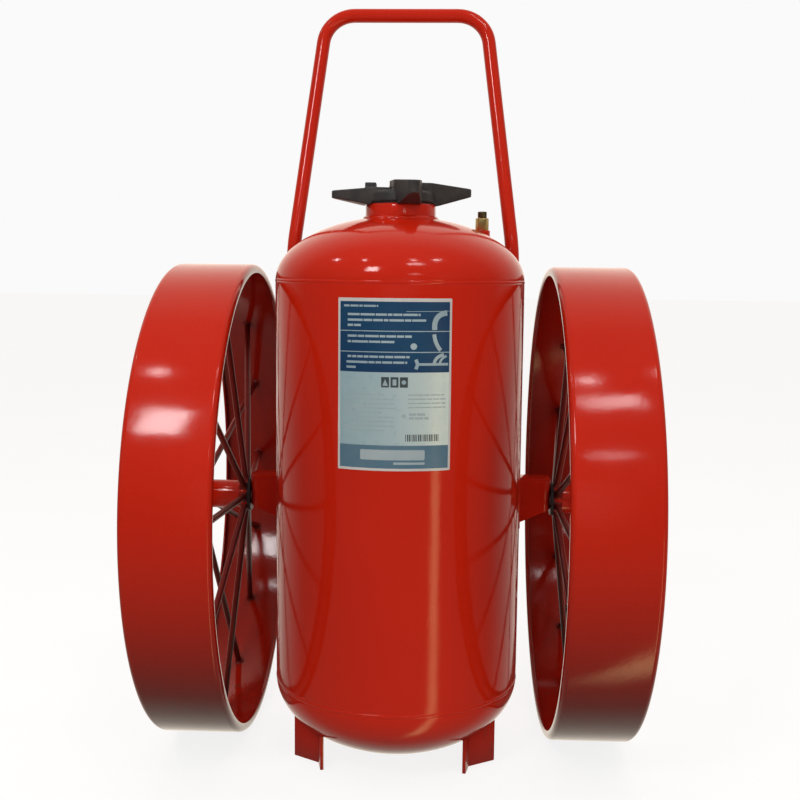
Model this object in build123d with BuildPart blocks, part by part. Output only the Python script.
"""Wheeled dry-powder fire extinguisher, gas-cartridge operated, as separate pieces.

Millimetres. The origin is on the floor, midway between the wheels and straight below the axles.
+X is the extinguisher's right as seen from the front, +Y points to its back, +Z is up.
"""

import os
from math import sqrt

from build123d import *

# ---------------------------------------------------------------- driving dimensions
WHEEL_RADIUS = 457.2            # 36 in steel wheel
RIM_INNER_X = 284.0             # rim edge beside the tank
RIM_OUTER_X = 437.0             # rim edge away from the tank
RIM_THICKNESS = 5.5
RIM_LIP_DEPTH = 17.0
RIM_CORNER_RADIUS = 10.0
HUB_INNER_X = 303.4
HUB_OUTER_X = 411.4
HUB_RADIUS = 28.0
HUB_COLLAR_RADIUS = 31.0
HUB_COLLAR_WIDTH = 12.0
SPOKE_RADIUS = 6.0
SPOKES_PER_SET = 8
# where each wheel's inner spokes stand: degrees from +Y towards +Z
WHEEL_TURN = {"left": 1.0, "right": 16.0}
AXLE_RADIUS = 15.875
AXLE_RUNNING_GAP = 0.06
BUSH_RADIUS = 20.0
BUSH_LENGTH = 30.0
AXLE_END_X = 431.0
WASHER_THICKNESS = 6.0

TANK_RADIUS = 228.0
TANK_WALL = 5.0
TANK_Y = -120.0
SHELL_BOTTOM = 144.0
SHELL_TOP = 885.0
TOP_HEAD_DEPTH = 118.0
BOTTOM_HEAD_DEPTH = 134.0
SEAM_WIDTH = 9.0
SEAM_HEIGHT = 1.4
CHARGE_LEVEL = 635.0

NECK_RADIUS = 64.0
NECK_BORE = 50.0
NECK_ROOT = 980.0
NECK_TOP = 1024.0
GASKET_THICKNESS = 3.0
CAP_SKIRT_RADIUS = 72.5
CAP_SKIRT_BOTTOM = 1008.0
CAP_SKIRT_TOP = 1023.0
CAP_BODY_RADIUS = 62.0
CAP_BODY_TOP = 1049.0
CAP_TURN = 16.0                 # how far the cap's wings stand round from the X axis

NAMEPLATE_HALF_CHORD = 94.0
NAMEPLATE_BOTTOM = 572.0
NAMEPLATE_TOP = 859.0
NAMEPLATE_THICKNESS = 0.6

HANDLE_TUBE_RADIUS = 13.35
HANDLE_TUBE_WALL = 2.6
HANDLE_LEG_X = 213.0
HANDLE_BEND_Z = 945.0
HANDLE_TOP_X = 157.0
HANDLE_TOP_Y = 92.0
HANDLE_TOP_Z = 1406.0
HANDLE_CORNER_RADIUS = 62.0
HANDLE_BEND_RADIUS = 260.0
SADDLE_LEVEL = 800.0

BRACKET_TOP = 498.0
BRACKET_BOTTOM = 415.0
BRACKET_END_BOTTOM = 442.0
BRACKET_END_X = 297.0
BRACKET_PLATE = 6.0
BRACKET_FRONT_Y = -24.0
BRACKET_REAR_Y = 42.0
BRACKET_BEND = 14.0

FOOT_CORNER = (136.0, -218.0)
FOOT_FRONT_TIP = (129.0, -250.0)
FOOT_OUTER_END = (185.0, -188.0)
FOOT_PLATE = 6.0
FOOT_HEIGHT = 112.0

CYLINDER_RADIUS = 76.0
CYLINDER_WALL = 5.0
CYLINDER_Y = 198.0
CYLINDER_BOTTOM = 150.0
CYLINDER_SHOULDER = 770.0
CYLINDER_NECK_RADIUS = 22.0
CYLINDER_TOP = 840.0
VALVE_STEM_RADIUS = 12.0
VALVE_AXIS_Z = 872.0
CLAMP_LEVEL = 620.0
CLAMP_HEIGHT = 32.0
CLAMP_STRAP = 4.0
CLAMP_EAR_X = 92.0
CLAMP_EAR = 32.0
CLAMP_BOLT_X = 96.0
CLAMP_BOLT_RADIUS = 4.0
CLAMP_HEX_RADIUS = 7.5
CLAMP_HEAD_HEIGHT = 5.5
CLAMP_NUT_HEIGHT = 6.5
CLAMP_BOLT_REACH = 12.0
CLAMP_GAP = 1.0

REGULATOR_X = 74.0
GAS_LINE_RADIUS = 6.35
GAS_INLET_Z = 790.0
OUTLET_X = -95.0
OUTLET_Z = 690.0
NIPPLE_RADIUS = 16.7
NIPPLE_BORE = 13.0

# ---------------------------------------------------------------- frames worked out from them
AXLE_Z = WHEEL_RADIUS
WHEEL_AXIS = Axis((0, 0, AXLE_Z), (1, 0, 0))
RIM_MID_X = (RIM_INNER_X + RIM_OUTER_X) / 2
TANK_AXIS = Axis((0, TANK_Y, 0), (0, 0, 1))
CYLINDER_AXIS = Axis((0, CYLINDER_Y, 0), (0, 0, 1))
TANK_SECTION = Plane((0, TANK_Y, 0), x_dir=(1, 0, 0), z_dir=(0, -1, 0))
CYLINDER_SECTION = Plane((0, CYLINDER_Y, 0), x_dir=(1, 0, 0), z_dir=(0, -1, 0))
WHEEL_SECTION = Plane((0, 0, AXLE_Z), x_dir=(1, 0, 0), z_dir=(0, -1, 0))
SIDES = {"left": -1, "right": 1}

os.makedirs("parts", exist_ok=True)


def write_piece(piece, node_name):
    """Label one finished piece and write it as its own STEP file."""
    piece.label = node_name
    export_step(piece, f"parts/{node_name}.step")


def tank_rear_y(x):
    """The y of the tank's rear surface at a sideways place x."""
    return TANK_Y + sqrt(TANK_RADIUS**2 - x**2)


def mirrored(piece):
    """The same piece on the other side of the tank."""
    return piece.mirror(Plane.YZ)


# ---------------------------------------------------------------- solids used only for cutting
with BuildPart() as tank_envelope:
    with BuildSketch(TANK_SECTION):
        with Locations((0, SHELL_BOTTOM)):
            Rectangle(TANK_RADIUS, SHELL_TOP - SHELL_BOTTOM, align=(Align.MIN, Align.MIN))
        with Locations((0, SHELL_TOP)):
            Ellipse(TANK_RADIUS, TOP_HEAD_DEPTH)
        with Locations((0, SHELL_BOTTOM)):
            Ellipse(TANK_RADIUS, BOTTOM_HEAD_DEPTH)
        with Locations((0, SHELL_BOTTOM - BOTTOM_HEAD_DEPTH)):
            Rectangle(
                TANK_RADIUS,
                SHELL_TOP + TOP_HEAD_DEPTH,
                align=(Align.MIN, Align.MIN),
                mode=Mode.INTERSECT,
            )
    revolve(axis=TANK_AXIS)


# ---------------------------------------------------------------- tank
def head_shell(seam_z, depth, upward):
    """One pressed half-ellipsoid head of the tank, open towards the shell."""
    side = Align.MIN if upward else Align.MAX
    with BuildPart() as head:
        with BuildSketch(TANK_SECTION):
            with Locations((0, seam_z)):
                Ellipse(TANK_RADIUS, depth)
                Ellipse(TANK_RADIUS - TANK_WALL, depth - TANK_WALL, mode=Mode.SUBTRACT)
                Rectangle(TANK_RADIUS, depth, align=(Align.MIN, side), mode=Mode.INTERSECT)
        revolve(axis=TANK_AXIS)
    return head.part


RELIEF_X = 151.0
RELIEF_Y = -60.0
RELIEF_BOSS_RADIUS = 15.0
RELIEF_BORE = 5.0
RELIEF_BOSS_ROOT = 955.0
RELIEF_BOSS_TOP = 981.0
GAS_INLET_RADIUS = 16.0
OUTLET_BOSS_RADIUS = 30.0

with BuildPart() as tank_shell:
    with BuildSketch(Plane.XY.offset(SHELL_BOTTOM)):
        with Locations((0, TANK_Y)):
            Circle(TANK_RADIUS)
            Circle(TANK_RADIUS - TANK_WALL, mode=Mode.SUBTRACT)
    extrude(amount=SHELL_TOP - SHELL_BOTTOM)
    with BuildSketch(Plane.XZ):
        with Locations((REGULATOR_X, GAS_INLET_Z)):
            Circle(GAS_INLET_RADIUS)
        with Locations((OUTLET_X, OUTLET_Z)):
            Circle(OUTLET_BOSS_RADIUS)
    extrude(amount=-tank_rear_y(0), mode=Mode.SUBTRACT)
write_piece(tank_shell.part, "tank_shell")

with BuildPart() as top_head:
    add(head_shell(SHELL_TOP, TOP_HEAD_DEPTH, upward=True))
    with BuildSketch(Plane.XY.offset(SHELL_TOP)):
        with Locations((0, TANK_Y)):
            Circle(NECK_RADIUS)
        with Locations((RELIEF_X, RELIEF_Y)):
            Circle(RELIEF_BOSS_RADIUS)
    extrude(amount=TOP_HEAD_DEPTH, mode=Mode.SUBTRACT)
write_piece(top_head.part, "top_head")

write_piece(head_shell(SHELL_BOTTOM, BOTTOM_HEAD_DEPTH, upward=False), "bottom_head")


def seam_weld(seam_z):
    """The crowned weld bead round the tank where a head meets the shell."""
    half_width = SEAM_WIDTH / 2
    crown = (TANK_RADIUS + SEAM_HEIGHT, seam_z)
    with BuildPart() as bead:
        with BuildSketch(TANK_SECTION):
            with BuildLine():
                lower = (TANK_RADIUS, seam_z - half_width)
                upper = (TANK_RADIUS, seam_z + half_width)
                ThreePointArc(lower, crown, upper)
                Line(upper, lower)
            make_face()
        revolve(axis=TANK_AXIS)
        add(tank_envelope.part, mode=Mode.SUBTRACT)
    return bead.part


bottom_seam_weld = seam_weld(SHELL_BOTTOM)
write_piece(seam_weld(SHELL_TOP), "top_seam_weld")
write_piece(bottom_seam_weld, "bottom_seam_weld")

with BuildPart() as fill_neck:
    with BuildSketch(Plane.XY.offset(NECK_ROOT)):
        with Locations((0, TANK_Y)):
            Circle(NECK_RADIUS)
            Circle(NECK_BORE, mode=Mode.SUBTRACT)
    extrude(amount=NECK_TOP - NECK_ROOT)
    chamfer(fill_neck.edges().group_by(Axis.Z)[-1], 1.5)
write_piece(fill_neck.part, "fill_neck")

GASKET_CLEARANCE = 0.05
GASKET_EDGE = 2.5

with BuildPart() as cap_gasket:
    with BuildSketch(Plane.XY.offset(NECK_TOP + GASKET_CLEARANCE)):
        with Locations((0, TANK_Y)):
            Circle(NECK_RADIUS - GASKET_EDGE)
            Circle(NECK_BORE + GASKET_EDGE, mode=Mode.SUBTRACT)
    extrude(amount=GASKET_THICKNESS)
write_piece(cap_gasket.part, "cap_gasket")


# ---------------------------------------------------------------- fill cap with its four wings
CAP_CAVITY_RADIUS = NECK_RADIUS + 0.4
CAP_CAVITY_TOP = NECK_TOP + GASKET_THICKNESS + 0.35
CAP_RECESS_RADIUS = 30.0
CAP_RECESS_DEPTH = 8.0
CAP_EDGE = 2.0

# wing: angle, tip reach, root top, tip top, tip bottom
CAP_WINGS = (
    (CAP_TURN, 134.0, 1063.0, 1055.0, 1041.0),
    (CAP_TURN + 90, 104.0, 1047.0, 1043.0, 1033.0),
    (CAP_TURN + 180, 128.0, 1053.0, 1046.0, 1033.0),
    (CAP_TURN + 270, 104.0, 1065.0, 1061.0, 1039.0),
)
WING_ROOT_BOTTOM = 1018.0
WING_ROOT_REACH = 18.0
WING_UNDERSIDE_REACH = 66.0
WING_UNDERSIDE_RISE = 4.0
WING_ROOT_WIDTH = 52.0
WING_TIP_WIDTH = 24.0
WING_SHOULDER = 52.0


def cap_wing(angle, reach, root_top, tip_top, tip_bottom):
    """One tapering wing of the cap, from the cap's middle to its rounded tip."""
    with BuildPart() as wing:
        with BuildSketch(Plane.XZ):
            Polygon(
                (WING_ROOT_REACH, WING_ROOT_BOTTOM),
                (WING_UNDERSIDE_REACH, WING_ROOT_BOTTOM + WING_UNDERSIDE_RISE),
                (reach, tip_bottom),
                (reach, tip_top),
                (WING_SHOULDER, root_top),
                (WING_ROOT_REACH, root_top),
                align=None,
            )
        extrude(amount=WING_ROOT_WIDTH / 2, both=True)
        with BuildSketch(Plane.XY.offset(WING_ROOT_BOTTOM)):
            Polygon(
                (0, WING_ROOT_WIDTH / 2),
                (0, -WING_ROOT_WIDTH / 2),
                (WING_SHOULDER, -WING_ROOT_WIDTH / 2),
                (reach - WING_TIP_WIDTH / 2, -WING_TIP_WIDTH / 2),
                (reach - WING_TIP_WIDTH / 2, WING_TIP_WIDTH / 2),
                (WING_SHOULDER, WING_ROOT_WIDTH / 2),
                align=None,
            )
            with Locations((reach - WING_TIP_WIDTH / 2, 0)):
                Circle(WING_TIP_WIDTH / 2)
        extrude(amount=root_top - WING_ROOT_BOTTOM, mode=Mode.INTERSECT)
    return wing.part.rotate(Axis.Z, angle).moved(Location((0, TANK_Y, 0)))


with BuildPart() as fill_cap:
    with BuildSketch(TANK_SECTION):
        with BuildLine():
            Polyline(
                (0, CAP_BODY_TOP - CAP_RECESS_DEPTH),
                (CAP_RECESS_RADIUS, CAP_BODY_TOP - CAP_RECESS_DEPTH),
                (CAP_RECESS_RADIUS + 2 * CAP_EDGE, CAP_BODY_TOP - CAP_EDGE),
                (CAP_BODY_RADIUS - 2 * CAP_EDGE, CAP_BODY_TOP - CAP_EDGE),
                (CAP_BODY_RADIUS, CAP_BODY_TOP - 3 * CAP_EDGE),
                (CAP_BODY_RADIUS + CAP_EDGE, CAP_SKIRT_TOP),
                (CAP_SKIRT_RADIUS - CAP_EDGE, CAP_SKIRT_TOP),
                (CAP_SKIRT_RADIUS, CAP_SKIRT_TOP - CAP_EDGE),
                (CAP_SKIRT_RADIUS, CAP_SKIRT_BOTTOM + CAP_EDGE),
                (CAP_SKIRT_RADIUS - CAP_EDGE, CAP_SKIRT_BOTTOM),
                (CAP_CAVITY_RADIUS, CAP_SKIRT_BOTTOM),
                (CAP_CAVITY_RADIUS, CAP_CAVITY_TOP),
                (0, CAP_CAVITY_TOP),
                (0, CAP_BODY_TOP - CAP_RECESS_DEPTH),
            )
        make_face()
    revolve(axis=TANK_AXIS)
    for wing_shape in CAP_WINGS:
        add(cap_wing(*wing_shape))
    with BuildSketch(Plane.XY.offset(CAP_SKIRT_BOTTOM)):
        with Locations((0, TANK_Y)):
            Circle(CAP_CAVITY_RADIUS)
    extrude(amount=CAP_CAVITY_TOP - CAP_SKIRT_BOTTOM, mode=Mode.SUBTRACT)
write_piece(fill_cap.part, "fill_cap")


# ---------------------------------------------------------------- fittings through the tank wall
WALL_PASS = 2.0                 # how far a fitting stands inside the tank's wall


def l_tube(x, elbow_y, level, foot_z, radius, bore):
    """A tube from the tank's rear wall inwards, then down towards the bottom head."""
    wall_y = tank_rear_y(x) - TANK_WALL - WALL_PASS
    bend = 2.5 * radius
    with BuildPart() as tube:
        with BuildLine() as route:
            FilletPolyline((x, wall_y, level), (x, elbow_y, level), (x, elbow_y, foot_z), radius=bend)
        with BuildSketch(Plane((x, wall_y, level), z_dir=(0, -1, 0))):
            Circle(radius)
            Circle(bore, mode=Mode.SUBTRACT)
        sweep(path=route.wires()[0])
    return tube.part


PICKUP_RADIUS = 16.0
PICKUP_BORE = 13.0
PICKUP_ELBOW_Y = -20.0
PICKUP_FOOT = 70.0
GAS_TUBE_RADIUS = 8.0
GAS_TUBE_BORE = 6.0
GAS_TUBE_ELBOW_Y = 40.0
GAS_TUBE_FOOT = 110.0

pickup_tube = l_tube(OUTLET_X, PICKUP_ELBOW_Y, OUTLET_Z, PICKUP_FOOT, PICKUP_RADIUS, PICKUP_BORE)
write_piece(pickup_tube, "pickup_tube")
gas_tube = l_tube(
    REGULATOR_X, GAS_TUBE_ELBOW_Y, GAS_INLET_Z, GAS_TUBE_FOOT, GAS_TUBE_RADIUS, GAS_TUBE_BORE
)
write_piece(gas_tube, "gas_tube")

CHARGE_GAP = 1.0

CHARGE_RADIUS = TANK_RADIUS - TANK_WALL - CHARGE_GAP
CHARGE_DEPTH = BOTTOM_HEAD_DEPTH - TANK_WALL - CHARGE_GAP

with BuildPart() as agent_charge:
    with BuildSketch(TANK_SECTION):
        with Locations((0, SHELL_BOTTOM)):
            Ellipse(CHARGE_RADIUS, CHARGE_DEPTH)
            Rectangle(CHARGE_RADIUS, CHARGE_DEPTH, align=(Align.MIN, Align.MAX), mode=Mode.INTERSECT)
    revolve(axis=TANK_AXIS)
    with BuildSketch(Plane.XY.offset(SHELL_BOTTOM)):
        with Locations((0, TANK_Y)):
            Circle(CHARGE_RADIUS)
    extrude(amount=CHARGE_LEVEL - SHELL_BOTTOM)
    with BuildSketch(Plane.XY.offset(PICKUP_FOOT - CHARGE_GAP)):
        with Locations((OUTLET_X, PICKUP_ELBOW_Y)):
            Circle(PICKUP_RADIUS + CHARGE_GAP)
        with Locations((REGULATOR_X, GAS_TUBE_ELBOW_Y)):
            Circle(GAS_TUBE_RADIUS + CHARGE_GAP)
    extrude(amount=CHARGE_LEVEL - PICKUP_FOOT + CHARGE_GAP, mode=Mode.SUBTRACT)
write_piece(agent_charge.part, "agent_charge")


def wall_boss(x, level, radius, bore, reach):
    """A round steel boss welded through the tank's rear wall."""
    start_y = tank_rear_y(x) - TANK_WALL - WALL_PASS
    with BuildPart() as boss:
        with BuildSketch(Plane((x, start_y, level), z_dir=(0, 1, 0))):
            Circle(radius)
            Circle(bore, mode=Mode.SUBTRACT)
        extrude(amount=reach)
    return boss.part


OUTLET_BOSS_REACH = 34.0
INLET_BOSS_REACH = 30.0
write_piece(
    wall_boss(OUTLET_X, OUTLET_Z, OUTLET_BOSS_RADIUS, NIPPLE_BORE, OUTLET_BOSS_REACH), "outlet_boss"
)
write_piece(
    wall_boss(REGULATOR_X, GAS_INLET_Z, GAS_INLET_RADIUS, GAS_LINE_RADIUS, INLET_BOSS_REACH), "gas_inlet_boss"
)

OUTLET_FACE_Y = tank_rear_y(OUTLET_X) - TANK_WALL - WALL_PASS + OUTLET_BOSS_REACH
NIPPLE_LENGTH = 30.0
OUTLET_HEX = 24.0
OUTLET_HEX_LENGTH = 16.0

with BuildPart() as outlet_nipple:
    with BuildSketch(Plane((OUTLET_X, OUTLET_FACE_Y, OUTLET_Z), z_dir=(0, 1, 0))):
        RegularPolygon(OUTLET_HEX, 6)
    extrude(amount=OUTLET_HEX_LENGTH)
    with BuildSketch(Plane((OUTLET_X, OUTLET_FACE_Y + OUTLET_HEX_LENGTH, OUTLET_Z), z_dir=(0, 1, 0))):
        Circle(NIPPLE_RADIUS)
    extrude(amount=NIPPLE_LENGTH)
    with BuildSketch(Plane((OUTLET_X, OUTLET_FACE_Y, OUTLET_Z), z_dir=(0, 1, 0))):
        Circle(NIPPLE_BORE)
    extrude(amount=OUTLET_HEX_LENGTH + NIPPLE_LENGTH, mode=Mode.SUBTRACT)
write_piece(outlet_nipple.part, "outlet_nipple")


# ---------------------------------------------------------------- relief valve on the top head
RELIEF_HEX_TOP = 1004.0
RELIEF_TOP = 1016.0
RELIEF_HEX_RADIUS = 12.5
RELIEF_CAP_RADIUS = 8.5

with BuildPart() as relief_boss:
    with BuildSketch(Plane.XY.offset(RELIEF_BOSS_ROOT)):
        with Locations((RELIEF_X, RELIEF_Y)):
            Circle(RELIEF_BOSS_RADIUS)
            Circle(RELIEF_BORE, mode=Mode.SUBTRACT)
    extrude(amount=RELIEF_BOSS_TOP - RELIEF_BOSS_ROOT)
write_piece(relief_boss.part, "relief_boss")

with BuildPart() as relief_valve_body:
    with BuildSketch(Plane.XY.offset(RELIEF_BOSS_TOP)):
        with Locations((RELIEF_X, RELIEF_Y)):
            RegularPolygon(RELIEF_HEX_RADIUS, 6)
    extrude(amount=RELIEF_HEX_TOP - RELIEF_BOSS_TOP)
    chamfer(relief_valve_body.edges().group_by(Axis.Z)[-1], 1.2)
write_piece(relief_valve_body.part, "relief_valve_body")

with BuildPart() as relief_valve_cap:
    with BuildSketch(Plane.XY.offset(RELIEF_HEX_TOP)):
        with Locations((RELIEF_X, RELIEF_Y)):
            Circle(RELIEF_CAP_RADIUS)
    extrude(amount=RELIEF_TOP - RELIEF_HEX_TOP)
    fillet(relief_valve_cap.edges().group_by(Axis.Z)[-1], 2.0)
write_piece(relief_valve_cap.part, "relief_valve_cap")


# ---------------------------------------------------------------- nameplate bent round the tank
NAMEPLATE_CENTER_DEPTH = sqrt(TANK_RADIUS**2 - NAMEPLATE_HALF_CHORD**2)

with BuildPart() as nameplate:
    with BuildSketch(Plane.XY.offset(NAMEPLATE_BOTTOM)):
        with Locations((0, TANK_Y)):
            Circle(TANK_RADIUS + NAMEPLATE_THICKNESS)
            Circle(TANK_RADIUS, mode=Mode.SUBTRACT)
        with Locations((0, TANK_Y)):
            Polygon(
                (0, 0),
                (-2 * NAMEPLATE_HALF_CHORD, -2 * NAMEPLATE_CENTER_DEPTH),
                (2 * NAMEPLATE_HALF_CHORD, -2 * NAMEPLATE_CENTER_DEPTH),
                align=None,
                mode=Mode.INTERSECT,
            )
    extrude(amount=NAMEPLATE_TOP - NAMEPLATE_BOTTOM)
write_piece(nameplate.part, "nameplate")


# ---------------------------------------------------------------- handle and its mountings
with BuildPart() as handle:
    with BuildLine() as handle_route:
        FilletPolyline(
            (-HANDLE_LEG_X, 0, BRACKET_TOP),
            (-HANDLE_LEG_X, 0, HANDLE_BEND_Z),
            (-HANDLE_TOP_X, HANDLE_TOP_Y, HANDLE_TOP_Z),
            (HANDLE_TOP_X, HANDLE_TOP_Y, HANDLE_TOP_Z),
            (HANDLE_LEG_X, 0, HANDLE_BEND_Z),
            (HANDLE_LEG_X, 0, BRACKET_TOP),
            radius=[HANDLE_BEND_RADIUS, HANDLE_CORNER_RADIUS, HANDLE_CORNER_RADIUS, HANDLE_BEND_RADIUS],
        )
    with BuildSketch(Plane((-HANDLE_LEG_X, 0, BRACKET_TOP))):
        Circle(HANDLE_TUBE_RADIUS)
        Circle(HANDLE_TUBE_RADIUS - HANDLE_TUBE_WALL, mode=Mode.SUBTRACT)
    sweep(path=handle_route.wires()[0])
write_piece(handle.part, "handle")

SADDLE_SIZE = (34.0, 46.0, 40.0)
SADDLE_Y = -4.0

with BuildPart() as handle_saddles:
    with Locations(*[(side * HANDLE_LEG_X, SADDLE_Y, SADDLE_LEVEL) for side in SIDES.values()]):
        Box(*SADDLE_SIZE)
    with Locations(*[(side * HANDLE_LEG_X, 0, SADDLE_LEVEL) for side in SIDES.values()]):
        Cylinder(HANDLE_TUBE_RADIUS, SADDLE_SIZE[2], mode=Mode.SUBTRACT)
    add(tank_envelope.part, mode=Mode.SUBTRACT)
write_piece(handle_saddles.part, "handle_saddles")


# ---------------------------------------------------------------- axle brackets, axles, washers
FLANGE_TOE = (TANK_RADIUS - 8.0, -84.0)     # front edge of the bracket's flange on the tank
FLANGE_HEEL = (TANK_RADIUS + 5.0, -80.0)
STUB_START_X = 150.0            # inside the tank, before its solid is cut away
COTTER_X = 424.0
COTTER_RADIUS = 2.4
COTTER_EYE_RADIUS = 5.0
COTTER_WIRE_RADIUS = 1.8
COTTER_LEG_DROP = 9.0
COTTER_EYE_RISE = 8.0
OUTER_WASHER_X = HUB_OUTER_X + 0.4


def axle_bracket():
    """The right bent-plate bracket: flanged onto the tank's side, it carries the axle stub."""
    outline_outer = (
        FLANGE_TOE,
        FLANGE_HEEL,
        (FLANGE_HEEL[0], BRACKET_FRONT_Y),
        (BRACKET_END_X, BRACKET_FRONT_Y),
        (BRACKET_END_X, BRACKET_REAR_Y),
        (STUB_START_X, BRACKET_REAR_Y),
        (STUB_START_X, FLANGE_TOE[1]),
    )
    with BuildPart() as bracket:
        with BuildSketch(Plane.XY.offset(BRACKET_BOTTOM)) as plan:
            Polygon(*outline_outer, align=None)
            fillet(plan.vertices().group_by(Axis.X)[-1].sort_by(Axis.Y)[0], BRACKET_BEND)
        extrude(amount=BRACKET_TOP - BRACKET_BOTTOM)
        with BuildSketch(Plane.XY.offset(BRACKET_BOTTOM)):
            offset(plan.sketch_local, amount=-BRACKET_PLATE)
            with Locations((STUB_START_X, BRACKET_REAR_Y)):
                Rectangle(2 * (BRACKET_END_X - BRACKET_PLATE - STUB_START_X), 3 * BRACKET_PLATE)
        extrude(amount=BRACKET_TOP - BRACKET_BOTTOM - BRACKET_PLATE, mode=Mode.SUBTRACT)
        with BuildSketch(Plane.XZ.offset(-BRACKET_REAR_Y)):
            Polygon(
                (TANK_RADIUS + 10, BRACKET_BOTTOM),
                (BRACKET_END_X + 1, BRACKET_BOTTOM),
                (BRACKET_END_X + 1, BRACKET_END_BOTTOM),
                align=None,
            )
        extrude(amount=2 * TANK_RADIUS, mode=Mode.SUBTRACT)
        with BuildSketch(Plane.YZ.offset(BRACKET_END_X)):
            with Locations((0, AXLE_Z)):
                Circle(AXLE_RADIUS)
        extrude(amount=-2 * BRACKET_PLATE, mode=Mode.SUBTRACT)
        add(tank_envelope.part, mode=Mode.SUBTRACT)
    return bracket.part


def axle_stub():
    """The right stub axle, from the tank's wall out through bracket, hub and washer."""
    with BuildPart() as stub:
        with BuildSketch(Plane.YZ.offset(STUB_START_X)):
            with Locations((0, AXLE_Z)):
                Circle(AXLE_RADIUS)
        extrude(amount=AXLE_END_X - STUB_START_X)
        chamfer(stub.faces().sort_by(Axis.X)[-1].edges(), 2.5)
        with BuildSketch(Plane.XY.offset(AXLE_Z - AXLE_RADIUS - 1)):
            with Locations((COTTER_X, 0)):
                Circle(COTTER_RADIUS)
        extrude(amount=2 * AXLE_RADIUS + 2, mode=Mode.SUBTRACT)
        add(tank_envelope.part, mode=Mode.SUBTRACT)
    return stub.part


def axle_washer(start_x):
    """A thrust washer on the right axle."""
    with BuildPart() as washer:
        with BuildSketch(Plane.YZ.offset(start_x)):
            with Locations((0, AXLE_Z)):
                Circle(HUB_COLLAR_RADIUS + 1)
                Circle(AXLE_RADIUS, mode=Mode.SUBTRACT)
        extrude(amount=WASHER_THICKNESS)
    return washer.part


def cotter_pin():
    """The split pin through the right axle's end, its legs bent and its eye on top."""
    leg_bottom = AXLE_Z - AXLE_RADIUS - COTTER_LEG_DROP
    eye_center = AXLE_Z + AXLE_RADIUS + COTTER_EYE_RISE
    with BuildPart() as pin:
        with BuildSketch(Plane.XY.offset(leg_bottom)):
            with Locations((COTTER_X, 0)):
                Circle(COTTER_RADIUS)
        extrude(amount=eye_center - COTTER_EYE_RADIUS + COTTER_RADIUS - leg_bottom)
        with Locations((COTTER_X, 0, eye_center)):
            Torus(COTTER_EYE_RADIUS, COTTER_WIRE_RADIUS, rotation=(0, 90, 0))
    return pin.part


# ---------------------------------------------------------------- wheel
RIM_WIDTH = RIM_OUTER_X - RIM_INNER_X
ROUNDING_MARGIN = 0.01          # keeps a fillet just short of using up its whole edge


def rim():
    """The right wheel's rolled steel band with its two rounded edges."""
    with BuildPart() as band:
        with BuildSketch(WHEEL_SECTION):
            with Locations((RIM_MID_X, WHEEL_RADIUS - RIM_CORNER_RADIUS)):
                outer = Rectangle(RIM_WIDTH, RIM_CORNER_RADIUS, align=(Align.CENTER, Align.MIN))
            fillet(outer.vertices().group_by(Axis.Y)[-1], RIM_CORNER_RADIUS - ROUNDING_MARGIN)
            inner_depth = RIM_CORNER_RADIUS - RIM_THICKNESS
            with BuildSketch(mode=Mode.PRIVATE) as channel:
                with Locations((RIM_MID_X, WHEEL_RADIUS - RIM_CORNER_RADIUS)):
                    Rectangle(
                        RIM_WIDTH - 2 * RIM_THICKNESS, inner_depth, align=(Align.CENTER, Align.MIN)
                    )
                fillet(channel.vertices().group_by(Axis.Y)[-1], inner_depth - ROUNDING_MARGIN)
            add(channel.sketch, mode=Mode.SUBTRACT)
        revolve(axis=WHEEL_AXIS)
    return band.part


def rim_lips():
    """The two flat edges of the right wheel's band, turned inwards towards the hub."""
    with BuildPart() as lips:
        for lip_x in (RIM_INNER_X, RIM_OUTER_X - RIM_THICKNESS):
            with BuildSketch(Plane.YZ.offset(lip_x)):
                with Locations((0, AXLE_Z)):
                    Circle(WHEEL_RADIUS - RIM_CORNER_RADIUS)
                    Circle(WHEEL_RADIUS - RIM_LIP_DEPTH, mode=Mode.SUBTRACT)
            extrude(amount=RIM_THICKNESS)
    return lips.part


def hub():
    """The right wheel's hub barrel with a collar at each end for the spokes."""
    with BuildPart() as barrel:
        with BuildSketch(WHEEL_SECTION):
            with Locations(((HUB_INNER_X + HUB_OUTER_X) / 2, 0)):
                Rectangle(HUB_OUTER_X - HUB_INNER_X, HUB_RADIUS, align=(Align.CENTER, Align.MIN))
            for collar_x in (HUB_INNER_X, HUB_OUTER_X - HUB_COLLAR_WIDTH):
                with Locations((collar_x, 0)):
                    Rectangle(HUB_COLLAR_WIDTH, HUB_COLLAR_RADIUS, align=(Align.MIN, Align.MIN))
            with Locations(((HUB_INNER_X + HUB_OUTER_X) / 2, 0)):
                Rectangle(
                    HUB_OUTER_X - HUB_INNER_X,
                    BUSH_RADIUS,
                    align=(Align.CENTER, Align.MIN),
                    mode=Mode.SUBTRACT,
                )
        revolve(axis=WHEEL_AXIS)
    return barrel.part


def hub_bushes():
    """The two plain bearing bushes in the right hub."""
    with BuildPart() as bushes:
        for start_x in (HUB_INNER_X, HUB_OUTER_X - BUSH_LENGTH):
            with BuildSketch(Plane.YZ.offset(start_x)):
                with Locations((0, AXLE_Z)):
                    Circle(BUSH_RADIUS)
                    Circle(AXLE_RADIUS + AXLE_RUNNING_GAP, mode=Mode.SUBTRACT)
            extrude(amount=BUSH_LENGTH)
    return bushes.part


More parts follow.
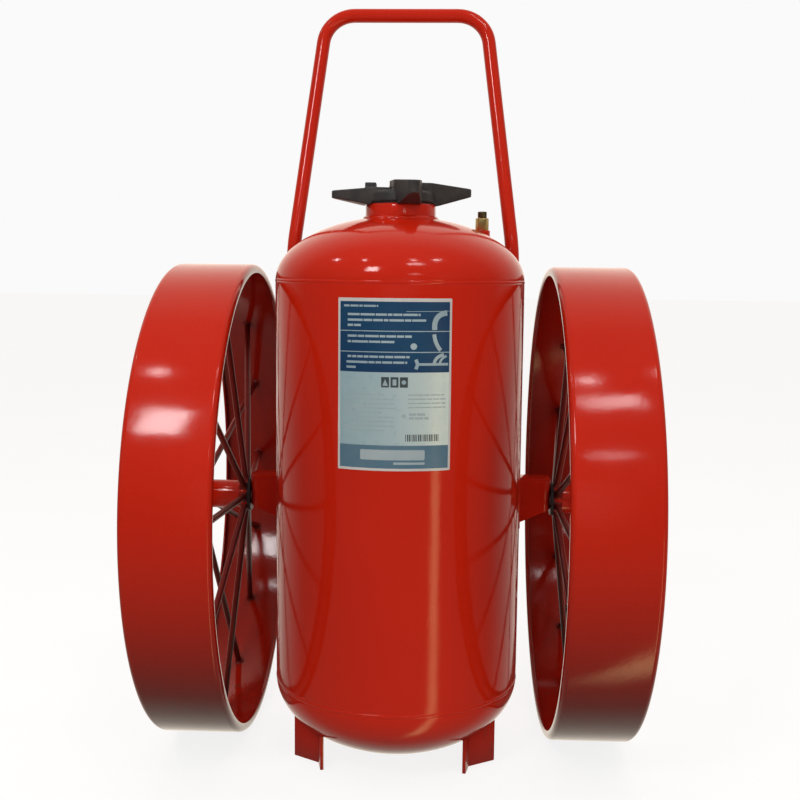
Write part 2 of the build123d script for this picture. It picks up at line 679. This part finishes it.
def spoke_set(hub_x, phase):
    """Eight round-bar spokes of the right wheel, from the hub at hub_x to the rim's middle."""
    rim_inside = WHEEL_RADIUS - RIM_THICKNESS
    start = Vector(hub_x, 0, AXLE_Z + HUB_COLLAR_RADIUS - SPOKE_RADIUS)
    end = Vector(RIM_MID_X, 0, AXLE_Z + rim_inside)
    with BuildPart() as spoke:
        with BuildSketch(Plane(start, z_dir=end - start)):
            Circle(SPOKE_RADIUS)
        extrude(amount=(end - start).length + SPOKE_RADIUS)
        with BuildSketch(Plane.YZ.offset(HUB_INNER_X)):
            with Locations((0, AXLE_Z)):
                Circle(rim_inside)
                Circle(HUB_COLLAR_RADIUS, mode=Mode.SUBTRACT)
        extrude(amount=HUB_OUTER_X - HUB_INNER_X, mode=Mode.INTERSECT)
    step = 360 / SPOKES_PER_SET
    with BuildPart() as spokes:
        for number in range(SPOKES_PER_SET):
            add(spoke.part.rotate(WHEEL_AXIS, phase - 90 + number * step))
    return spokes.part



def spokes_of(side_name):
    """The inner and outer spokes of one wheel, still on the right side."""
    turn = WHEEL_TURN[side_name]
    inset = HUB_COLLAR_WIDTH / 2
    return {
        "inner_spokes": spoke_set(HUB_INNER_X + inset, turn),
        "outer_spokes": spoke_set(HUB_OUTER_X - inset, turn + 180 / SPOKES_PER_SET),
    }


RIGHT_SIDE_PIECES = {
    "rim": rim(),
    "rim_lips": rim_lips(),
    "hub": hub(),
    "hub_bushes": hub_bushes(),
    "axle_bracket": axle_bracket(),
    "axle": axle_stub(),
    "inner_washer": axle_washer(BRACKET_END_X),
    "outer_washer": axle_washer(OUTER_WASHER_X),
    "cotter_pin": cotter_pin(),
}


# ---------------------------------------------------------------- feet
def foot():
    """The right foot: an upright bent plate between the floor and the bottom head."""
    with BuildPart() as angle:
        with BuildSketch(Plane.XY):
            with BuildLine() as bend:
                Polyline(FOOT_FRONT_TIP, FOOT_CORNER, FOOT_OUTER_END)
            trace(bend.edges(), FOOT_PLATE)
        extrude(amount=FOOT_HEIGHT)
        add(tank_envelope.part, mode=Mode.SUBTRACT)
    return angle.part


RIGHT_SIDE_PIECES["foot"] = foot()

for side_name in SIDES:
    side_pieces = RIGHT_SIDE_PIECES | spokes_of(side_name)
    for piece_name, right_piece in side_pieces.items():
        piece = mirrored(right_piece) if side_name == "left" else right_piece
        write_piece(piece, f"{side_name}_{piece_name}")


# ---------------------------------------------------------------- nitrogen cylinder at the back
CYLINDER_FOOT_BEVEL = 22.0
CYLINDER_FLOOR = 8.0
SHOULDER_RADIUS = 59.0
SHOULDER_RISE = 32.0
SHOULDER_TOP_RISE = 52.0
SHOULDER_FLARE = 6.0
NECK_START_RISE = 58.0

with BuildPart() as nitrogen_cylinder:
    with BuildSketch(CYLINDER_SECTION):
        with BuildLine():
            Polyline(
                (0, CYLINDER_BOTTOM),
                (CYLINDER_RADIUS - CYLINDER_FOOT_BEVEL, CYLINDER_BOTTOM),
                (CYLINDER_RADIUS, CYLINDER_BOTTOM + CYLINDER_FOOT_BEVEL),
                (CYLINDER_RADIUS, CYLINDER_SHOULDER),
                (SHOULDER_RADIUS, CYLINDER_SHOULDER + SHOULDER_RISE),
                (CYLINDER_NECK_RADIUS + SHOULDER_FLARE, CYLINDER_SHOULDER + SHOULDER_TOP_RISE),
                (CYLINDER_NECK_RADIUS, CYLINDER_SHOULDER + NECK_START_RISE),
                (CYLINDER_NECK_RADIUS, CYLINDER_TOP),
                (0, CYLINDER_TOP),
                (0, CYLINDER_BOTTOM),
            )
        make_face()
        with BuildLine():
            Polyline(
                (0, CYLINDER_BOTTOM + CYLINDER_FLOOR),
                (CYLINDER_RADIUS - CYLINDER_FOOT_BEVEL, CYLINDER_BOTTOM + CYLINDER_FLOOR),
                (CYLINDER_RADIUS - CYLINDER_WALL, CYLINDER_BOTTOM + CYLINDER_FOOT_BEVEL + CYLINDER_WALL),
                (CYLINDER_RADIUS - CYLINDER_WALL, CYLINDER_SHOULDER),
                (SHOULDER_RADIUS - CYLINDER_WALL, CYLINDER_SHOULDER + SHOULDER_RISE - CYLINDER_WALL),
                (VALVE_STEM_RADIUS, CYLINDER_SHOULDER + SHOULDER_TOP_RISE - CYLINDER_FLOOR),
                (VALVE_STEM_RADIUS, CYLINDER_TOP),
                (0, CYLINDER_TOP),
                (0, CYLINDER_BOTTOM + CYLINDER_FLOOR),
            )
        make_face(mode=Mode.SUBTRACT)
    revolve(axis=CYLINDER_AXIS)
write_piece(nitrogen_cylinder.part, "nitrogen_cylinder")

VALVE_STEM_DEPTH = 20.0
VALVE_BODY_RADIUS = 17.0
VALVE_BODY_TOP = 896.0
VALVE_OUTLET_RADIUS = 12.0
VALVE_OUTLET_END_X = 46.0
SPINDLE_RADIUS = 6.0
SPINDLE_TOP = 934.0
SPINDLE_DEPTH = 17.5
SPINDLE_GAP = 0.05
SPINDLE_END_GAP = 0.5
HANDWHEEL_RADIUS = 36.0
HANDWHEEL_BOTTOM = 912.0
HANDWHEEL_THICKNESS = 12.0
GRIP_NOTCHES = 8
GRIP_NOTCH_RADIUS = 8.0
GRIP_NOTCH_RING = 40.0
WINDOWS = 4
WINDOW_RADIUS = 6.5
WINDOW_RING = 20.0
WINDOW_START = 22.5             # degrees from +X towards +Y

with BuildPart() as cylinder_valve:
    with BuildSketch(Plane.XY.offset(CYLINDER_TOP - VALVE_STEM_DEPTH)):
        with Locations((0, CYLINDER_Y)):
            Circle(VALVE_STEM_RADIUS)
    extrude(amount=VALVE_STEM_DEPTH)
    with BuildSketch(Plane.XY.offset(CYLINDER_TOP)):
        with Locations((0, CYLINDER_Y)):
            Circle(VALVE_BODY_RADIUS)
    extrude(amount=VALVE_BODY_TOP - CYLINDER_TOP)
    with BuildSketch(Plane.YZ):
        with Locations((CYLINDER_Y, VALVE_AXIS_Z)):
            Circle(VALVE_OUTLET_RADIUS)
    extrude(amount=VALVE_OUTLET_END_X)
    with BuildSketch(Plane.XY.offset(VALVE_BODY_TOP)):
        with Locations((0, CYLINDER_Y)):
            Circle(SPINDLE_RADIUS + SPINDLE_GAP)
    extrude(amount=-(SPINDLE_DEPTH + SPINDLE_END_GAP), mode=Mode.SUBTRACT)
write_piece(cylinder_valve.part, "cylinder_valve")

with BuildPart() as valve_spindle:
    with BuildSketch(Plane.XY.offset(VALVE_BODY_TOP - SPINDLE_DEPTH)):
        with Locations((0, CYLINDER_Y)):
            Circle(SPINDLE_RADIUS)
    extrude(amount=SPINDLE_TOP - VALVE_BODY_TOP + SPINDLE_DEPTH)
write_piece(valve_spindle.part, "valve_spindle")

with BuildPart() as valve_handwheel:
    with BuildSketch(Plane.XY.offset(HANDWHEEL_BOTTOM)):
        with Locations((0, CYLINDER_Y)):
            Circle(HANDWHEEL_RADIUS)
            with PolarLocations(GRIP_NOTCH_RING, GRIP_NOTCHES):
                Circle(GRIP_NOTCH_RADIUS, mode=Mode.SUBTRACT)
            with PolarLocations(WINDOW_RING, WINDOWS, start_angle=WINDOW_START):
                Circle(WINDOW_RADIUS, mode=Mode.SUBTRACT)
            Circle(SPINDLE_RADIUS, mode=Mode.SUBTRACT)
    extrude(amount=HANDWHEEL_THICKNESS)
write_piece(valve_handwheel.part, "valve_handwheel")

# regulator with its gauge
REGULATOR_RADIUS = 27.0
REGULATOR_END_X = 102.0
BONNET_END_X = 128.0
BONNET_END_RADIUS = 14.0
REGULATOR_STUB_RADIUS = 10.0
REGULATOR_STUB_LENGTH = 20.0
REGULATOR_STUB_DROP = 12.0
REGULATOR_OUTLET_Z = VALVE_AXIS_Z - REGULATOR_RADIUS - REGULATOR_STUB_DROP
GAS_LINE_DEPTH = 14.0

with BuildPart() as regulator_body:
    with BuildSketch(Plane.YZ.offset(VALVE_OUTLET_END_X)):
        with Locations((CYLINDER_Y, VALVE_AXIS_Z)):
            Circle(REGULATOR_RADIUS)
    extrude(amount=REGULATOR_END_X - VALVE_OUTLET_END_X)
    with BuildSketch(Plane.XY.offset(REGULATOR_OUTLET_Z)):
        with Locations((REGULATOR_X, CYLINDER_Y)):
            Circle(REGULATOR_STUB_RADIUS)
    extrude(amount=REGULATOR_STUB_LENGTH)
    with BuildSketch(Plane.XY.offset(REGULATOR_OUTLET_Z)):
        with Locations((REGULATOR_X, CYLINDER_Y)):
            Circle(GAS_LINE_RADIUS)
    extrude(amount=GAS_LINE_DEPTH, mode=Mode.SUBTRACT)
write_piece(regulator_body.part, "regulator_body")

with BuildPart() as regulator_bonnet:
    with BuildSketch(Plane.YZ.offset(REGULATOR_END_X)):
        with Locations((CYLINDER_Y, VALVE_AXIS_Z)):
            Circle(REGULATOR_RADIUS)
    with BuildSketch(Plane.YZ.offset(BONNET_END_X)):
        with Locations((CYLINDER_Y, VALVE_AXIS_Z)):
            Circle(BONNET_END_RADIUS)
    loft()
write_piece(regulator_bonnet.part, "regulator_bonnet")

GAUGE_RADIUS = 25.0
GAUGE_Z = 940.0
GAUGE_DEPTH = 20.0
GAUGE_FRONT_Y = CYLINDER_Y + 12.0
GAUGE_STEM_RADIUS = 7.0
GAUGE_STEM_SINK = 2.0
GAUGE_BEZEL = 3.0
GAUGE_WELL = 8.0                # depth of the open front of the case
DIAL_THICKNESS = 1.0
DIAL_PIN_RADIUS = 1.0
DIAL_PIN_LENGTH = 3.0
POINTER_START = 6.0             # behind the case's front edge
POINTER_THICKNESS = 1.0
POINTER_HUB_RADIUS = 2.6
POINTER_HOLE_RADIUS = 1.05
POINTER_LENGTH = 17.0
POINTER_ROOT_HALF_WIDTH = 1.4
POINTER_TIP_HALF_WIDTH = 0.5
POINTER_REST = -45.0            # degrees of turn in the gauge's face
LENS_START = 2.5
LENS_THICKNESS = 2.0

with BuildPart() as gauge_case:
    with BuildSketch(Plane.XZ.offset(-(GAUGE_FRONT_Y - GAUGE_DEPTH))):
        with Locations((REGULATOR_X, GAUGE_Z)):
            Circle(GAUGE_RADIUS)
    extrude(amount=-GAUGE_DEPTH)
    with BuildSketch(Plane.XZ.offset(-(GAUGE_FRONT_Y - GAUGE_WELL))):
        with Locations((REGULATOR_X, GAUGE_Z)):
            Circle(GAUGE_RADIUS - GAUGE_BEZEL)
    extrude(amount=-GAUGE_WELL, mode=Mode.SUBTRACT)
    stem_root = VALVE_AXIS_Z + REGULATOR_RADIUS - GAUGE_STEM_SINK
    stem_top = GAUGE_Z - GAUGE_RADIUS + GAUGE_STEM_SINK
    with BuildSketch(Plane.XY.offset(stem_root)):
        with Locations((REGULATOR_X, CYLINDER_Y)):
            Circle(GAUGE_STEM_RADIUS)
    extrude(amount=stem_top - stem_root)
    add(regulator_body.part, mode=Mode.SUBTRACT)
write_piece(gauge_case.part, "gauge_case")

with BuildPart() as gauge_dial:
    with BuildSketch(Plane.XZ.offset(-(GAUGE_FRONT_Y - GAUGE_WELL))):
        with Locations((REGULATOR_X, GAUGE_Z)):
            Circle(GAUGE_RADIUS - GAUGE_BEZEL)
    extrude(amount=-DIAL_THICKNESS)
    with BuildSketch(Plane.XZ.offset(-(GAUGE_FRONT_Y - GAUGE_WELL + DIAL_THICKNESS))):
        with Locations((REGULATOR_X, GAUGE_Z)):
            Circle(DIAL_PIN_RADIUS)
    extrude(amount=-DIAL_PIN_LENGTH)
write_piece(gauge_dial.part, "gauge_dial")

with BuildPart() as gauge_pointer:
    with BuildSketch(Plane.XZ.offset(-(GAUGE_FRONT_Y - POINTER_START))):
        with Locations((REGULATOR_X, GAUGE_Z)):
            Circle(POINTER_HUB_RADIUS)
            Polygon(
                (-POINTER_ROOT_HALF_WIDTH, 0),
                (POINTER_ROOT_HALF_WIDTH, 0),
                (POINTER_TIP_HALF_WIDTH, -POINTER_LENGTH),
                (-POINTER_TIP_HALF_WIDTH, -POINTER_LENGTH),
                align=None,
                rotation=POINTER_REST,
            )
            Circle(POINTER_HOLE_RADIUS, mode=Mode.SUBTRACT)
    extrude(amount=-POINTER_THICKNESS)
write_piece(gauge_pointer.part, "gauge_pointer")

with BuildPart() as gauge_lens:
    with BuildSketch(Plane.XZ.offset(-(GAUGE_FRONT_Y - LENS_START))):
        with Locations((REGULATOR_X, GAUGE_Z)):
            Circle(GAUGE_RADIUS - GAUGE_BEZEL)
    extrude(amount=-LENS_THICKNESS)
write_piece(gauge_lens.part, "gauge_lens")

GAS_LINE_BEND = 26.0
inlet_face_y = tank_rear_y(REGULATOR_X) - TANK_WALL - WALL_PASS + INLET_BOSS_REACH
gas_line_end_y = inlet_face_y - GAS_LINE_DEPTH

with BuildPart() as gas_line:
    with BuildLine() as gas_route:
        FilletPolyline(
            (REGULATOR_X, CYLINDER_Y, REGULATOR_OUTLET_Z + GAS_LINE_DEPTH),
            (REGULATOR_X, CYLINDER_Y, GAS_INLET_Z),
            (REGULATOR_X, gas_line_end_y, GAS_INLET_Z),
            radius=GAS_LINE_BEND,
        )
    with BuildSketch(Plane((REGULATOR_X, CYLINDER_Y, REGULATOR_OUTLET_Z + GAS_LINE_DEPTH), z_dir=(0, 0, -1))):
        Circle(GAS_LINE_RADIUS)
    sweep(path=gas_route.wires()[0])
write_piece(gas_line.part, "gas_line")

# cradle under the cylinder and clamp round it
CRADLE_PLATE = 6.0
CRADLE_HALF_WIDTH = 66.0
CRADLE_CUP_HEIGHT = 34.0
CRADLE_CUP_WALL = 4.0
CRADLE_ROOT_Y = 60.0
CRADLE_RIB_X = 44.0
CRADLE_RIB_OVERHANG = 30.0
CRADLE_RIB_DROP = 70.0

with BuildPart() as cradle:
    with BuildSketch(Plane.XY.offset(CYLINDER_BOTTOM - CRADLE_PLATE)):
        with Locations((0, CYLINDER_Y)):
            Circle(CYLINDER_RADIUS + CRADLE_CUP_WALL)
        with Locations((0, (CYLINDER_Y + CRADLE_ROOT_Y) / 2)):
            Rectangle(2 * CRADLE_HALF_WIDTH, CYLINDER_Y - CRADLE_ROOT_Y)
    extrude(amount=CRADLE_PLATE)
    with BuildSketch(Plane.XY.offset(CYLINDER_BOTTOM)):
        with Locations((0, CYLINDER_Y)):
            Circle(CYLINDER_RADIUS + CRADLE_CUP_WALL)
            Circle(CYLINDER_RADIUS, mode=Mode.SUBTRACT)
    extrude(amount=CRADLE_CUP_HEIGHT)
    for rib_x in (-CRADLE_RIB_X, CRADLE_RIB_X):
        with BuildSketch(Plane.YZ.offset(rib_x - CRADLE_PLATE / 2)):
            Polygon(
                (CRADLE_ROOT_Y, CYLINDER_BOTTOM - CRADLE_PLATE),
                (CYLINDER_Y + CRADLE_RIB_OVERHANG, CYLINDER_BOTTOM - CRADLE_PLATE),
                (CRADLE_ROOT_Y, CYLINDER_BOTTOM - CRADLE_RIB_DROP),
                align=None,
            )
        extrude(amount=CRADLE_PLATE)
    add(tank_envelope.part, mode=Mode.SUBTRACT)
    add(bottom_seam_weld, mode=Mode.SUBTRACT)
write_piece(cradle.part, "cylinder_cradle")


def clamp_half(rear):
    """Half of the clamp round the gas cylinder, with a flat ear at each end."""
    side = 1 if rear else -1
    outer = CYLINDER_RADIUS + CLAMP_STRAP
    with BuildPart() as half:
        with BuildSketch(Plane.XY.offset(CLAMP_LEVEL)):
            with Locations((0, CYLINDER_Y)):
                Circle(outer)
                for ear_side in (-1, 1):
                    with Locations((ear_side * CLAMP_EAR_X, side * (CLAMP_STRAP + CLAMP_GAP) / 2)):
                        Rectangle(CLAMP_EAR, CLAMP_STRAP)
                Circle(CYLINDER_RADIUS, mode=Mode.SUBTRACT)
                with Locations((0, -side * (outer - CLAMP_GAP / 2))):
                    Rectangle(4 * outer, 2 * outer, mode=Mode.SUBTRACT)
        extrude(amount=CLAMP_HEIGHT)
        for ear_side in (-1, 1):
            with BuildSketch(Plane.XZ.offset(-CYLINDER_Y)):
                with Locations((ear_side * CLAMP_BOLT_X, CLAMP_LEVEL + CLAMP_HEIGHT / 2)):
                    Circle(CLAMP_BOLT_RADIUS)
            extrude(amount=CLAMP_BOLT_REACH, both=True, mode=Mode.SUBTRACT)
    return half.part


write_piece(clamp_half(rear=True), "clamp_strap")

BLOCK_WIDTH = 70.0
BLOCK_ROOT_Y = 90.0

with BuildPart() as clamp_saddle:
    add(clamp_half(rear=False))
    with BuildSketch(Plane.XY.offset(CLAMP_LEVEL)):
        with Locations((0, (CYLINDER_Y - CYLINDER_RADIUS + BLOCK_ROOT_Y) / 2)):
            Rectangle(BLOCK_WIDTH, CYLINDER_Y - CYLINDER_RADIUS - BLOCK_ROOT_Y)
    extrude(amount=CLAMP_HEIGHT)
    with BuildSketch(Plane.XY.offset(CLAMP_LEVEL)):
        with Locations((0, CYLINDER_Y)):
            Circle(CYLINDER_RADIUS)
    extrude(amount=CLAMP_HEIGHT, mode=Mode.SUBTRACT)
    add(tank_envelope.part, mode=Mode.SUBTRACT)
write_piece(clamp_saddle.part, "clamp_saddle")

bolt_level = CLAMP_LEVEL + CLAMP_HEIGHT / 2
ear_face = CLAMP_STRAP + CLAMP_GAP / 2

with BuildPart() as clamp_bolts:
    for ear_side in (-1, 1):
        bolt_x = ear_side * CLAMP_BOLT_X
        with BuildSketch(Plane((bolt_x, CYLINDER_Y - CLAMP_BOLT_REACH, bolt_level), z_dir=(0, 1, 0))):
            Circle(CLAMP_BOLT_RADIUS)
        extrude(amount=2 * CLAMP_BOLT_REACH)
        with BuildSketch(Plane((bolt_x, CYLINDER_Y + ear_face, bolt_level), z_dir=(0, 1, 0))):
            RegularPolygon(CLAMP_HEX_RADIUS, 6)
        extrude(amount=CLAMP_HEAD_HEIGHT)
write_piece(clamp_bolts.part, "clamp_bolts")

with BuildPart() as clamp_nuts:
    for ear_side in (-1, 1):
        bolt_x = ear_side * CLAMP_BOLT_X
        with BuildSketch(Plane((bolt_x, CYLINDER_Y - ear_face, bolt_level), z_dir=(0, -1, 0))):
            RegularPolygon(CLAMP_HEX_RADIUS, 6)
            Circle(CLAMP_BOLT_RADIUS, mode=Mode.SUBTRACT)
        extrude(amount=CLAMP_NUT_HEIGHT)
write_piece(clamp_nuts.part, "clamp_nuts")
